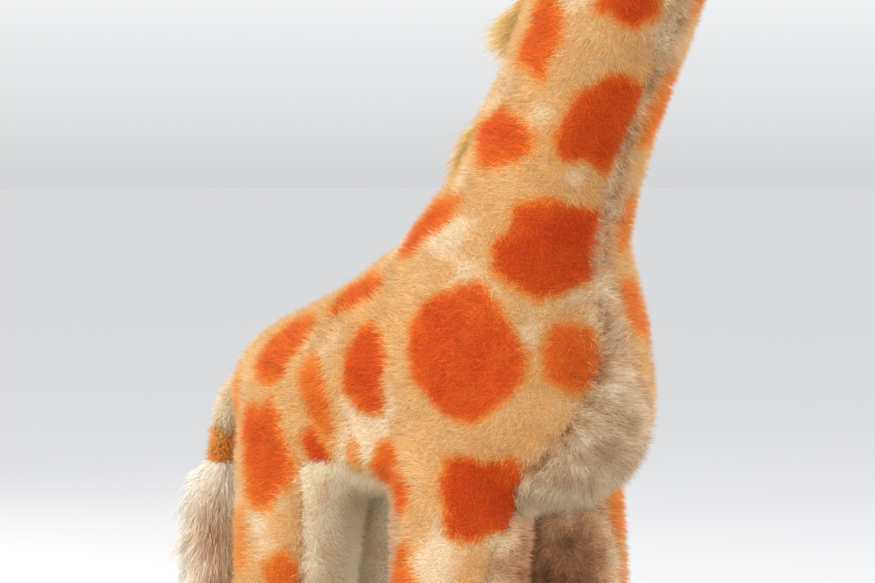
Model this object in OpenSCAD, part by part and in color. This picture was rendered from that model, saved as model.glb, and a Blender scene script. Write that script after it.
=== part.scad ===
// Standing plush giraffe: sewn mohair panels over a firm filling on a wire frame.
// +X is forward, +Y is the giraffe's left, +Z is up, and the soles stand on z = 0. Millimetres.
// The origin lies on the floor between the front feet, under the middle of the whole length.

/* [Stance] */
// Distance between the front and hind leg axes
leg_base = 47; // [45:1:49]
// Distance between the left and right leg axes
leg_track = 34; // [33:1:35]

/* [Cloth] */
// Thickness of the mohair cloth with its pile
cloth_t = 1.6; // [1.4:0.1:1.8]
// Space between the cloth and the filling
fill_gap = 0.3; // [0.2:0.1:0.4]
// Space between two panels along a seam
seam_gap = 0.2; // [0.2:0.05:0.3]

/* [Face] */
// Diameter of a glass eye
eye_d = 7.5; // [7:0.5:8]
// Length of a horn above the crown
horn_len = 14; // [10:1:18]
// Length of an ear
ear_len = 27; // [24:1:30]
// Width of an ear
ear_w = 13; // [11:1:14]

/* [Small parts] */
// Diameter of the frame wire
wire_d = 2.4; // [2:0.2:2.8]
// Thickness of the felt soles
felt_t = 1.5; // [1:0.1:2]
// Thickness of the card discs inside the feet
card_t = 1; // [0.6:0.1:1.2]
// Diameter of the sewing thread
thread_d = 1; // [0.8:0.1:1.2]

/* [Hidden] */
$fn = 32;
xf = 0;
xh = -leg_base;
ly = leg_track / 2;
leg_top = 99;
neck_base = 163;
far = 400;

cream = "#d8ccb0";
golden = "#e8c48a";
olive = "#c8b070";
felt_color = "#c98a4a";
steel = "#8c9096";
wood_wool = "#cdb27c";
thread_color = "#5a4032";

// ---- lofted forms -------------------------------------------------------
// A form is a list of stations [x, y, z, heading, half_width, half_up, half_down].
// The heading is the direction of travel above +X, in degrees.
function cubic(a, b, c, d, t) =
    b + 0.5 * t * (c - a + t * (2 * a - 5 * b + 4 * c - d + t * (3 * (b - c) + d - a)));
function station(s, i) = s[min(max(i, 0), len(s) - 1)];
function between(s, i, t) =
    cubic(station(s, i - 1), station(s, i), station(s, i + 1), station(s, i + 2), t);
function smooth(s, steps = 2) = [
    for (i = [0:len(s) - 2], k = [0:steps - 1]) between(s, i, k / steps),
    s[len(s) - 1]
];

function ahead(p) = [cos(p[3]), 0, sin(p[3])];
function above(p) = [-sin(p[3]), 0, cos(p[3])];
function centre(p) = [p[0], p[1], p[2]];
function top_of(p, d = 0) = centre(p) + (p[5] + d) * above(p);
function bottom_of(p, d = 0) = centre(p) - (p[6] + d) * above(p);

// The same form with its surface moved inwards by d
function inset(s, d) = [
    for (i = [0:len(s) - 1])
        let (
            p = s[i],
            step = i == 0 ? d : i == len(s) - 1 ? -d : 0,
            c = centre(p) + step * ahead(p)
        )
        [c.x, c.y, c.z, p[3], max(p[4] - d, 0.4), max(p[5] - d, 0.4), max(p[6] - d, 0.4)]
];
function ring(p, n) = [
    for (k = [0:n - 1])
        let (a = 360 * k / n, r = cos(a) >= 0 ? p[5] : p[6])
        centre(p) + r * cos(a) * above(p) + p[4] * sin(a) * [0, 1, 0]
];

// Triangles between m rings of n points, where the first ring starts at point number from
function sides_of(m, n, from = 0) = [
    for (j = [0:m - 2], k = [0:n - 1])
        let (a = from + j * n + k, b = from + j * n + (k + 1) % n)
        each [[a, b, a + n], [b, b + n, a + n]]
];
function turned(faces) = [for (f = faces) [for (i = [len(f) - 1:-1:0]) f[i]]];
function rings_of(stations, n) = [for (p = stations) each ring(p, n)];

module loft(stations, n = 24) {
    m = len(stations);
    first = [[for (k = [n - 1:-1:0]) k]];
    last = [[for (k = [0:n - 1]) (m - 1) * n + k]];
    polyhedron(rings_of(stations, n), concat(first, sides_of(m, n), last));
}
// A closed root with a hollow behind it: the hollow's form ends level with the outer one
module tube(outer, hollow, wall, n) {
    last = hollow[len(hollow) - 1];
    inner = concat(
        [for (i = [0:len(hollow) - 2]) inset(hollow, wall)[i]],
        [[last[0], last[1], last[2], last[3], last[4] - wall, last[5] - wall, last[6] - wall]]
    );
    start = len(outer) * n;
    rim = start - n;
    inner_rim = start + (len(inner) - 1) * n;
    first = [[for (k = [n - 1:-1:0]) k]];
    inner_first = [[for (k = [0:n - 1]) start + k]];
    end = [
        for (k = [0:n - 1])
            let (j = (k + 1) % n)
            each [[rim + k, rim + j, inner_rim + k], [rim + j, inner_rim + j, inner_rim + k]]
    ];
    polyhedron(
        concat(rings_of(outer, n), rings_of(inner, n)),
        concat(first, sides_of(len(outer), n), end,
            turned(sides_of(len(inner), n, start)), inner_first)
    );
}

// Soft shapes that hold no bore are evaluated as one closed mesh
module soft() {
    resize([0, 0, 0]) children();
}

trunk = [
    [xh - 27, 0, 119,  8,  3,    3,    3],
    [xh - 25, 0, 119,  8, 11.5, 10,   11],
    [xh - 17, 0, 119, 10, 18.6, 16.2, 18],
    [xh - 4,  0, 120, 14, 23.6, 19.8, 21],
    [xh + 11, 0, 123, 20, 25,   22,   22],
    [xf - 14, 0, 128, 28, 26,   27.5, 30],
    [xf - 2,  0, 132, 38, 26.4, 30.4, 38],
    [xf + 5,  0, 140, 46, 25.8, 30,   37],
    [xf + 9,  0, 152, 52, 21.6, 24.7, 25.2],
    [xf + 12, 0, 159.5, 53, 18, 22.5, 16.7],
    [xf + 18, 0, 179, 60, 16.6, 18,   16.6],
    [xf + 29, 0, 199, 61, 16,   18.8, 15.5],
    [xf + 38, 0, 217, 66, 15,   16.2, 14.8],
    [xf + 43, 0, 233, 72, 14,   14,   14],
    [xf + 45, 0, 245, 76, 12.5, 13,   13],
    [xf + 46, 0, 252, 76,  6,    6,    6],
];
neck_first = 8;
neck_last = 14;
closing_first = 3;
closing_last = 4;

// The low, flat underside between the legs
belly = [
    [xh - 4,  0, 114, 0, 12,   5,  5],
    [xh + 3,  0, 112, 0, 22,   12, 9],
    [xh + 15, 0, 111, 0, 24.5, 13, 10],
    [xh + 33, 0, 111, 0, 25,   13, 10.5],
    [xf - 6,  0, 112, 0, 20,   12, 10],
    [xf + 2,  0, 114, 0, 10,   5,  5],
];

head = [
    [xf + 33, 0, 253, -22,  4,    4,    4],
    [xf + 35, 0, 252, -22, 10,   10,   10],
    [xf + 43, 0, 250, -22, 13,   13,   14],
    [xf + 52, 0, 247, -22, 13.5, 13,   14],
    [xf + 65, 0, 241, -22, 11.5, 10.5, 12],
    [xf + 77, 0, 235, -22,  9,    8,    9.5],
    [xf + 88, 0, 230, -22,  8.5,  7.5,  8.5],
    [xf + 94, 0, 228, -22,  6.5,  6,    6.5],
    [xf + 96, 0, 227, -22,  3,    3,    3],
];
head_pitch = 22;

// Legs travel downwards, so half_up points forward. Side s is -1 for right and 1 for left.
function front_leg(s) = [
    [xf - 2, s * (ly - 8),   134, -90,  9,   10,   10],
    [xf - 1, s * (ly - 6),   124, -90, 12.5, 12,   13],
    [xf, s * (ly - 3.8),     112, -90, 14,   13.5, 14.5],
    [xf, s * (ly - 3),        97, -90, 13,   15.3, 15.2],
    [xf, s * (ly - 0.6),      76, -90, 13.4, 14,   13],
    [xf, s * ly,              54, -90, 12,   12,   12],
    [xf, s * ly,              30, -90, 11,   10.5, 11],
    [xf, s * ly,              12, -90, 11.5, 11,   11.5],
    [xf, s * ly, felt_t + seam_gap, -90, 12, 11.5, 11.5],
];
function hind_leg(s) = [
    [xh + 1, s * (ly - 9),   132, -90,  8,   13,   10],
    [xh + 1, s * (ly - 5),   124, -90, 12,   15,   13.5],
    [xh, s * (ly - 1.6),     112, -90, 13.2, 16,   14.3],
    [xh + 1, s * (ly - 1.6), 103, -90, 13.2, 14.6, 14],
    [xh + 1, s * (ly - 1),    97, -90, 13.5, 13.8, 14],
    [xh + 0.5, s * ly,        76, -90, 12.6, 12,   12.7],
    [xh, s * ly,              54, -90, 12,   10.5, 11.5],
    [xh, s * ly,              30, -90, 11,   10.5, 11],
    [xh, s * ly,              12, -90, 11.5, 11,   11.5],
    [xh, s * ly, felt_t + seam_gap, -90, 12, 11.5, 11.5],
];
LEGS = [front_leg(-1), front_leg(1), hind_leg(-1), hind_leg(1)];

module trunk_form(d) {
    loft(inset(smooth(trunk), d));
    loft(inset(smooth(belly), d));
}
module head_form(d) loft(inset(smooth(head), d));
module leg_forms(d) for (leg = LEGS) loft(inset(smooth(leg), d), 16);
module body_form(d) {
    trunk_form(d);
    head_form(d);
    leg_forms(d);
}

// ---- sewing pattern -----------------------------------------------------
// Half width of the cream underside at each height, from the legs up to its point:
// under the chest, between the legs, and behind the hind legs
front_point = [
    [ly + 1, -1], [ly + 1, 76], [ly + 2.8, 87], [ly - 0.3, 95], [13.6, leg_top], [12.6, 103],
    [13.2, 112], [11.5, 118], [6, 126], [1.5, 134], [0, 140],
];
middle_point = [
    [ly + 6.5, -20], [ly + 6.5, 104], [ly + 7, 109], [ly + 6.2, 110.6], [ly + 5, 111.4],
    [ly + 2, 112], [9, 114], [0, 118],
];
hind_point = [[ly, -1], [ly, leg_top], [15, 105], [9, 112], [0, 116]];
// The seams between the legs fall towards the front from this place
middle_fall = 0.4;
middle_fall_x = xh + 14;
function mirrored(half) = concat(half, [for (i = [len(half) - 1:-1:0]) [-half[i].x, half[i].y]]);

module along_x(from, to) {
    translate([from, 0, 0]) rotate([90, 0, 90]) linear_extrude(to - from) children();
}
module falling() {
    multmatrix([
        [1, 0, 0, 0],
        [0, 1, 0, 0],
        [-middle_fall, 0, 1, middle_fall * middle_fall_x],
        [0, 0, 0, 1],
    ]) children();
}
module underside(grow) {
    along_x(xf, far) offset(delta = grow) polygon(mirrored(front_point));
    falling() along_x(xh, xf) offset(delta = grow) polygon(mirrored(middle_point));
    along_x(-far, xh) offset(delta = grow) polygon(mirrored(hind_point));
}
module chest_part(grow) {
    translate([xf - grow, -far / 2, leg_top - grow]) cube(far);
}
// The strip over the head, seen from above: it tapers to the nose
crown_plan = [[-6, -6], [30, -6], [70, -2.5], [70, 2.5], [30, 6], [-6, 6]];
crown_above = 3;
crown_reach = 40;
module crown_strip(grow) {
    translate(centre(head[0])) rotate([0, head_pitch, 0])
        translate([0, 0, crown_above - grow])
        linear_extrude(crown_reach) offset(delta = grow) polygon(crown_plan);
}
// Everything on side s of the middle plane
module half_space(s) {
    translate([-far / 2, s > 0 ? seam_gap / 2 : -far - seam_gap / 2, -1]) cube(far);
}
module cloth_shell() {
    difference() {
        body_form(0);
        body_form(cloth_t);
    }
}

// ---- face ---------------------------------------------------------------
eye_at = [xf + 58, 12.2, 247.5];
eye_turn = 12;
eye_sink = 1.2;
eye_room = 0.3;
module at_eye(s) {
    translate([eye_at.x, s * eye_at.y, eye_at.z]) rotate([0, 0, s * (90 - eye_turn)])
        rotate([0, 90, 0]) children();
}
module eye_pocket(s, grow) {
    at_eye(s) translate([0, 0, -eye_sink]) sphere(d = eye_d + 2 * grow, $fn = 16);
}

ear_at = [xf + 41, 13.6, 257];
ear_lift = 24;
ear_sweep = 14;
ear_cup_r = 12;
ear_root = 1.5;
ear_tuck = 2;
ear_block = 16;
lining_t = 1;
lining_gap = 0.1;
lining_inset = 1.5;
module at_ear(s) {
    translate([ear_at.x, s * ear_at.y, ear_at.z]) rotate([0, 0, s * (90 + ear_sweep)])
        rotate([0, -ear_lift, 0]) children();
}
// A leaf from the origin along +X
module leaf(length, width) {
    r = (length * length + width * width) / (4 * width);
    intersection_for(s = [-1, 1])
        translate([length / 2, s * (r - width / 2)]) circle(r, $fn = 96);
}
module cupped_leaf(length, width, r_in, r_out) {
    intersection() {
        translate([ear_root, 0, -ear_block / 2]) linear_extrude(ear_block)
            intersection() {
                translate([-ear_root - ear_tuck, 0]) leaf(length + ear_tuck, width);
                translate([0, -width]) square([length, 2 * width]);
            }
        translate([0, 0, ear_cup_r]) rotate([0, 90, 0]) difference() {
            cylinder(h = length, r = r_out);
            translate([0, 0, -1]) cylinder(h = length + 2, r = r_in);
        }
    }
}

horn_at = [xf + 46, 6, 259];
horn_splay = 8;
horn_rake = 14;
horn_root_r = 3.6;
horn_neck_r = 2.6;
horn_knob_r = 2.9;
module horn(s) {
    translate([horn_at.x, s * horn_at.y, horn_at.z]) rotate([-s * horn_splay, -horn_rake, 0])
        rotate_extrude($fn = 20) intersection() {
            union() {
                polygon([[0, 0], [horn_root_r, 0], [horn_neck_r, horn_len], [0, horn_len]]);
                translate([0, horn_len]) circle(horn_knob_r);
            }
            square([horn_root_r, horn_len + horn_knob_r]);
        }
}

// ---- wire and thread ----------------------------------------------------
// A round bar from a to b
module bar(a, b, d, sides = $fn) {
    v = b - a;
    translate(a) rotate([0, acos(v.z / norm(v)), atan2(v.y, v.x)])
        cylinder(h = norm(v), d = d, $fn = sides);
}
// A bent wire through the points, with round elbows
module bent(points, d, sides = $fn) {
    for (i = [0:len(points) - 2]) bar(points[i], points[i + 1], d, sides);
    for (i = [1:len(points) - 2]) translate(points[i]) sphere(d = d, $fn = sides);
}
thread_sides = 8;
// A wire that follows the middle of a lofted form
function wire_in(stations, d) = [
    for (p = stations) [p[0], p[1], p[2], p[3], d / 2, d / 2, d / 2]
];
module leg_wire(x) {
    foot = felt_t + card_t + 3;
    shoulder = 114;
    elbow = 8;
    bent([[x, -ly, foot], [x, -ly, shoulder - elbow], [x, -ly + elbow, shoulder],
        [x, ly - elbow, shoulder], [x, ly, shoulder - elbow], [x, ly, foot]], wire_d);
}

// ---- tail ---------------------------------------------------------------
tail_at = [xh - 30.6, 0, 123];
tail_skin = 1.3;
core_d = 1.2;
root_r = 2.8;
root_heading = 200;
// The rounded root turns in its seam like a ball, so it starts as part of a sphere
tail_root = [
    for (t = [-2.6, -2, -1])
        let (r = sqrt(root_r * root_r - t * t))
        [tail_at.x + t * cos(root_heading), 0, tail_at.z + t * sin(root_heading),
            root_heading, r, r, r]
];
tail_length = [
    [tail_at.x,        0, 123, 200, 2.8, 2.8, 2.8],
    [tail_at.x - 4,    0, 121, 215, 3.1, 3.1, 3.1],
    [tail_at.x - 7.5,  0, 117, 238, 3.2, 3.2, 3.2],
    [tail_at.x - 9.5,  0, 111, 255, 3.2, 3.2, 3.2],
    [tail_at.x - 10.8, 0, 103, 265, 3.2, 3.2, 3.2],
];
tuft = [
    [tail_at.x - 10.8, 0, 102.7, 265, 3.4, 3.4, 3.4],
    [tail_at.x - 11.2, 0, 99,    267, 6,   6,   6],
    [tail_at.x - 11.5, 0, 92,    269, 7.6, 7.6, 7.6],
    [tail_at.x - 11.5, 0, 83,    270, 8,   8,   8],
    [tail_at.x - 11.5, 0, 74,    270, 6.4, 6.4, 6.4],
    [tail_at.x - 11.5, 0, 67,    270, 3.6, 3.6, 3.6],
    [tail_at.x - 11.5, 0, 64,    270, 1,   1,   1],
];
seam_ahead = 2.4;

// ---- cover --------------------------------------------------------------
module side_panel(s) {
    color(golden) soft() difference() {
        intersection() {
            cloth_shell();
            half_space(s);
        }
        underside(seam_gap / 2);
        crown_strip(seam_gap / 2);
        eye_pocket(s, eye_room);
    }
}
module chest_gusset() {
    color(cream) soft() intersection() {
        cloth_shell();
        underside(-seam_gap / 2);
        chest_part(-seam_gap / 2);
    }
}
module underbody(s) {
    color(cream) soft() difference() {
        intersection() {
            cloth_shell();
            underside(-seam_gap / 2);
            half_space(s);
        }
        chest_part(seam_gap / 2);
    }
}
module head_gusset() {
    color(golden) soft() intersection() {
        cloth_shell();
        crown_strip(-seam_gap / 2);
    }
}
mane_h = 7.5;
mane_w = 4;
mane_sunk = 2;
part_gap = 0.2;
module mane_strip() {
    back = [for (i = [neck_first:neck_last - 1], t = [0.1, 0.6]) between(trunk, i, t)];
    inner = [for (p = back) let (q = top_of(p, -mane_sunk)) [q.x, q.z]];
    outer = [
        for (i = [len(back) - 1:-1:0])
            let (q = top_of(back[i], i == 0 ? mane_h / 4 : mane_h))
            [q.x, q.z]
    ];
    color(olive) soft() difference() {
        rotate([90, 0, 0]) linear_extrude(mane_w, center = true) polygon(concat(inner, outer));
        body_form(-part_gap);
    }
}
module horn_cover(s) {
    color(golden) soft() difference() {
        horn(s);
        body_form(-part_gap);
    }
}
module ear_cover(s) {
    color(golden) at_ear(s) cupped_leaf(ear_len, ear_w, ear_cup_r, ear_cup_r + cloth_t);
}
module ear_lining(s) {
    r = ear_cup_r - lining_gap;
    color(felt_color) at_ear(s)
        cupped_leaf(ear_len - lining_inset, ear_w - lining_inset, r - lining_t, r);
}

// ---- face parts ---------------------------------------------------------
module eye(s) {
    color("#17110d") at_eye(s) translate([0, 0, -eye_sink]) sphere(d = eye_d);
}
loop_r = 1.5;
loop_wire_r = 0.4;
module eye_wire(s) {
    color(steel) at_eye(s) translate([0, 0, -eye_sink - eye_d / 2 - loop_r - loop_wire_r])
        rotate([90, 0, 0]) rotate_extrude() translate([loop_r, 0]) circle(loop_wire_r);
}
// A line on the head's surface, on side s, between two stations and at an angle from the top
function head_line(from, to, angle, s) = [
    for (t = [from:0.25:to])
        let (p = between(head, floor(t), t - floor(t)))
        centre(p) + p[5] * cos(angle) * above(p) + s * p[4] * sin(angle) * [0, 1, 0]
];
// Thread sewn onto the cloth: only what lies above the surface
module sewn() {
    thread_gap = 0.05;
    color(thread_color) soft() difference() {
        children();
        body_form(-thread_gap);
    }
}
nostril_angle = 52;
mouth_angle = 112;
module nostril_stitches() {
    sewn() for (s = [-1, 1]) bent(head_line(6.5, 7.25, nostril_angle, s), thread_d, thread_sides);
}
module mouth_thread() {
    right = head_line(5.75, 7.75, mouth_angle, -1);
    left = head_line(5.75, 7.75, mouth_angle, 1);
    back = [for (i = [len(left) - 1:-1:0]) left[i]];
    sewn() bent(concat(right, back), thread_d, thread_sides);
}
function belly_low() = [for (p = smooth(belly)) let (q = bottom_of(p)) [q.x, q.z]];
function underside_z(x) = lookup(x, belly_low());
// Slanting stitches along the middle of the belly
module closing_stitches() {
    half = [0.8, 2.2, 0];
    sewn() for (i = [closing_first:closing_last], t = [0.1:0.2:0.9]) {
        p = bottom_of(between(trunk, i, t));
        low = [p.x, p.y, min(p.z, underside_z(p.x))];
        bar(low - half, low + half, thread_d, thread_sides);
    }
}

// ---- tail parts ---------------------------------------------------------
module tail_cover() {
    hollow = [for (i = [1:len(tail_length) - 1]) tail_length[i]];
    color(golden) tube(smooth(concat(tail_root, tail_length)), smooth(hollow), tail_skin, 14);
}
module tail_core() {
    route = concat([for (i = [1:len(tail_length) - 1]) tail_length[i]], [tuft[1]]);
    color(steel) loft(wire_in(inset(smooth(route), tail_skin + fill_gap), core_d), 8);
}
module tail_tuft() {
    color(cream) soft() loft(smooth(tuft), 14);
}
module tail_seam() {
    color(thread_color) translate([tail_at.x + seam_ahead, 0, tail_at.z]) rotate([0, 90, 0])
        rotate_extrude() translate([root_r + thread_d, 0]) circle(d = thread_d);
}

// ---- feet ---------------------------------------------------------------
function foot_of(leg) = leg[len(leg) - 1];
module foot_outline(leg, d) {
    p = foot_of(leg);
    translate([p[0], p[1]]) circle(p[5] - d, $fn = 48);
}
module sole(leg) {
    color(felt_color) linear_extrude(felt_t) foot_outline(leg, 0);
}
card_gap = 0.1;
card_room = 0.4;
module sole_card(leg) {
    color("#b59b6d") translate([0, 0, felt_t + seam_gap + cloth_t + card_gap])
        linear_extrude(card_t) foot_outline(leg, cloth_t + fill_gap + card_room);
}

// ---- filling and frame --------------------------------------------------
fill_d = cloth_t + fill_gap;
foot_top = felt_t + seam_gap + cloth_t + card_t + card_gap + part_gap;
module slab(from, to) {
    translate([-far / 2, -far / 2, from]) cube([far, far, to - from]);
}
module stuffing_body() {
    color(wood_wool) soft() intersection() {
        union() {
            trunk_form(fill_d);
            leg_forms(fill_d);
        }
        slab(leg_top, neck_base);
    }
}
module stuffing_neck() {
    color(wood_wool) soft() difference() {
        intersection() {
            trunk_form(fill_d);
            slab(neck_base + part_gap, far);
        }
        head_form(fill_d - fill_gap);
    }
}
module stuffing_head() {
    color(wood_wool) soft() difference() {
        head_form(fill_d);
        for (s = [-1, 1]) eye_pocket(s, eye_room);
    }
}
module stuffing_leg(leg) {
    color(wood_wool) soft() intersection() {
        loft(inset(smooth(leg), fill_d), 16);
        slab(foot_top, leg_top - part_gap);
    }
}
module spine_wire() {
    route = [for (i = [2:neck_last - 1]) trunk[i]];
    color(steel) loft(wire_in(smooth(route), wire_d), 10);
}

side_panel(-1);  // side_panel_right
side_panel(1);  // side_panel_left
chest_gusset();
underbody(-1);  // underbody_right
underbody(1);  // underbody_left
head_gusset();
mane_strip();
horn_cover(-1);  // horn_right
horn_cover(1);  // horn_left
ear_cover(-1);  // ear_right
ear_cover(1);  // ear_left
ear_lining(-1);  // ear_lining_right
ear_lining(1);  // ear_lining_left
eye(-1);  // eye_right
eye(1);  // eye_left
eye_wire(-1);  // eye_wire_right
eye_wire(1);  // eye_wire_left
nostril_stitches();
mouth_thread();
closing_stitches();
tail_cover();
tail_core();
tail_tuft();
tail_seam();
sole(LEGS[0]);  // sole_front_right
sole(LEGS[1]);  // sole_front_left
sole(LEGS[2]);  // sole_hind_right
sole(LEGS[3]);  // sole_hind_left
sole_card(LEGS[0]);  // sole_card_front_right
sole_card(LEGS[1]);  // sole_card_front_left
sole_card(LEGS[2]);  // sole_card_hind_right
sole_card(LEGS[3]);  // sole_card_hind_left
stuffing_body();
stuffing_neck();
stuffing_head();
stuffing_leg(LEGS[0]);  // stuffing_leg_front_right
stuffing_leg(LEGS[1]);  // stuffing_leg_front_left
stuffing_leg(LEGS[2]);  // stuffing_leg_hind_right
stuffing_leg(LEGS[3]);  // stuffing_leg_hind_left
leg_wire(xf);  // front_leg_wire
leg_wire(xh);  // hind_leg_wire
spine_wire();
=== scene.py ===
"""Looks of a standing mohair plush giraffe.

The cover is one smooth skin, cut into the sewn panels, and the pile on it is geometry: thin closed
strands, coloured by the place of their roots. Lengths in this script are in millimetres, and they
become metres when a mesh is made.
"""
import math

import bmesh
import bpy
import numpy as np
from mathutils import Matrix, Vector
from mathutils.bvhtree import BVHTree


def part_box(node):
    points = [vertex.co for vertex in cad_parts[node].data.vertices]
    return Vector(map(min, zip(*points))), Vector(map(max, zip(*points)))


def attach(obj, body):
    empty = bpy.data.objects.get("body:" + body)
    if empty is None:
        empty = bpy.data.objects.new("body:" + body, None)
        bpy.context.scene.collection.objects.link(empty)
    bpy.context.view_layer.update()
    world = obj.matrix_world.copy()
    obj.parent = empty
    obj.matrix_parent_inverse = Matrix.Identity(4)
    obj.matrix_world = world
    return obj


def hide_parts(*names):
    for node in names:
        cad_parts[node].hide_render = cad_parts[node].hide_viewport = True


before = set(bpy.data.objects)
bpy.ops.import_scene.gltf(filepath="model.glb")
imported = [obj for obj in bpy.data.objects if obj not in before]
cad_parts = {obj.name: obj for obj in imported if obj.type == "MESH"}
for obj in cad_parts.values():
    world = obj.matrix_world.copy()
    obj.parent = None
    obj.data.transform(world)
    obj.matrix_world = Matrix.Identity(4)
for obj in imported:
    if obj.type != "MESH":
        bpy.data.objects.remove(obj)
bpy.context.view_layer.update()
MM = 0.001
rng = np.random.default_rng(28)


# ---- places taken from the frame ------------------------------------------------------------
def box_mm(node):
    low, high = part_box(node)
    return np.array(low) / MM, np.array(high) / MM


def middle(node):
    low, high = box_mm(node)
    return (low + high) / 2


FRONT_X = middle("sole_front_right")[0]
HIND_X = middle("sole_hind_right")[0]
LEG_Y = abs(middle("sole_front_right")[1])
EYES = {side: middle("eye_" + side) for side in ("right", "left")}
EYE_R = (box_mm("eye_right")[1] - box_mm("eye_right")[0])[2] / 2
EAR_ROOTS = [(middle("ear_right")[0], box_mm("ear_right")[1][1], box_mm("ear_right")[0][2] + 1),
             (middle("ear_left")[0], box_mm("ear_left")[0][1], box_mm("ear_left")[0][2] + 1)]
NOSE = box_mm("mouth_thread")[1][0]

COVER = ["side_panel_right", "side_panel_left", "chest_gusset", "underbody_right",
         "underbody_left", "head_gusset"]
FILLING = [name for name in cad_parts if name.startswith("stuffing_")]

# ---- the sewing pattern, as in the CAD but level under the belly towards the hind legs --------
# Half width of the cream underside against height, at the front, in the middle and at the back
LEG_TOP = 99.0
FRONT_POINT = ([76, 87, 95, LEG_TOP, 103, 112, 118, 126, 134, 140],
               [LEG_Y + 1, LEG_Y + 2.8, LEG_Y - 0.3, 13.6, 12.6, 13.2, 11.5, 6, 1.5, 0])
MIDDLE_POINT = ([104, 109, 110.6, 111.4, 112, 114, 118],
                [LEG_Y + 6.5, LEG_Y + 7, LEG_Y + 6.2, LEG_Y + 5, LEG_Y + 2, 9, 0])
HIND_POINT = ([LEG_TOP, 105, 112, 116], [LEG_Y, 15, 9, 0])
# The seam under the belly is lower towards the front by this slope, and level behind the last x
MIDDLE_FALL = 0.4
MIDDLE_FALL_X = HIND_X + 14
MIDDLE_LEVEL_X = HIND_X + 21
CHEST_X = FRONT_X
CROWN_AT = np.array([FRONT_X + 33, 0, 253])
CROWN_PITCH = math.radians(22)
CROWN_HALF = ([-6, 30, 70], [6, 6, 2.5])
CROWN_ABOVE = 3.0
SIDE_RIGHT, SIDE_LEFT, CHEST, UNDER_RIGHT, UNDER_LEFT, CROWN = range(6)


def underside_gap(p):
    """How far each point lies outside (+) or inside (-) the cream underside."""
    x, z = p[:, 0], p[:, 2]
    fallen = z + MIDDLE_FALL * (np.maximum(x, MIDDLE_LEVEL_X) - MIDDLE_FALL_X)
    front, hind = x > FRONT_X, x < HIND_X
    height = np.where(front | hind, z, fallen)
    half = np.where(front, np.interp(z, *FRONT_POINT),
                    np.where(hind, np.interp(z, *HIND_POINT), np.interp(fallen, *MIDDLE_POINT)))
    top = np.where(front, FRONT_POINT[0][-1],
                   np.where(hind, HIND_POINT[0][-1], MIDDLE_POINT[0][-1]))
    slope = np.where((height > LEG_TOP) & (half > 0), 0.75, 1.0)
    gap = (np.abs(p[:, 1]) - half) * slope
    return np.where(height > top, np.hypot(p[:, 1], height - top), gap)


def crown_gap(p):
    """The same for the strip over the head."""
    q = p - CROWN_AT
    along = q[:, 0] * math.cos(CROWN_PITCH) - q[:, 2] * math.sin(CROWN_PITCH)
    up = q[:, 0] * math.sin(CROWN_PITCH) + q[:, 2] * math.cos(CROWN_PITCH)
    gap = np.abs(p[:, 1]) - np.interp(along, *CROWN_HALF)
    gap = np.where(along < CROWN_HALF[0][0], np.maximum(gap, CROWN_HALF[0][0] - along), gap)
    return np.maximum(gap, CROWN_ABOVE - up)


def panel_of(p):
    """Which panel each point belongs to."""
    panel = np.where(p[:, 1] < 0, SIDE_RIGHT, SIDE_LEFT)
    under = underside_gap(p) < 0
    chest = under & (p[:, 0] > CHEST_X) & (p[:, 2] > LEG_TOP)
    panel[under] = np.where(p[under, 1] < 0, UNDER_RIGHT, UNDER_LEFT)
    panel[chest] = CHEST
    panel[crown_gap(p) < 0] = CROWN
    return panel


def seam_distance(p):
    """Distance from each point to the nearest seam."""
    panel = panel_of(p)
    reach = np.minimum(np.abs(underside_gap(p)), np.abs(crown_gap(p)))
    halved = (panel != CHEST) & (panel != CROWN)
    reach = np.where(halved, np.minimum(reach, np.abs(p[:, 1])), reach)
    in_under = underside_gap(p) < 0
    cross = np.where(
        p[:, 0] > CHEST_X, np.abs(p[:, 2] - LEG_TOP),
        np.where(p[:, 2] > LEG_TOP, np.abs(p[:, 0] - CHEST_X), 99.0),
    )
    return np.where(in_under, np.minimum(reach, cross), reach)


# ---- noise ----------------------------------------------------------------------------------
def noise(points, size, seed=0):
    """Smooth noise from -1 to 1 with features of the given size."""
    q = points / size
    base = np.floor(q).astype(np.int64)
    f = q - base
    f = f * f * (3 - 2 * f)
    total = np.zeros(len(q))
    for corner in np.ndindex(2, 2, 2):
        c = base + np.array(corner)
        h = (c[:, 0] * 73856093) ^ (c[:, 1] * 19349663) ^ (c[:, 2] * 83492791) ^ (seed * 7919)
        h = ((h ^ (h >> 13)) * 1274126177) & 0x7FFFFFFF
        weight = np.prod(np.where(corner, f, 1 - f), axis=1)
        total += weight * ((h % 65536) / 32767.5 - 1)
    return total


def unit(v):
    return v / np.maximum(np.linalg.norm(v, axis=-1, keepdims=True), 1e-9)


# ---- meshes ---------------------------------------------------------------------------------
def add_object(name, mesh):
    obj = bpy.data.objects.new(name, mesh)
    bpy.context.scene.collection.objects.link(obj)
    return obj


def shade_smooth(mesh):
    mesh.polygons.foreach_set("use_smooth", np.ones(len(mesh.polygons), dtype=bool))


def read_points(mesh):
    flat = np.empty(len(mesh.vertices) * 3)
    mesh.vertices.foreach_get("co", flat)
    return flat.reshape(-1, 3) / MM


def write_points(mesh, points):
    mesh.vertices.foreach_set("co", (points * MM).ravel())
    mesh.update()


def read_normals(mesh):
    flat = np.empty(len(mesh.vertices) * 3)
    mesh.vertex_normals.foreach_get("vector", flat)
    return flat.reshape(-1, 3)


def read_edges(mesh):
    flat = np.empty(len(mesh.edges) * 2, dtype=np.int64)
    mesh.edges.foreach_get("vertices", flat)
    return flat.reshape(-1, 2)


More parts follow.
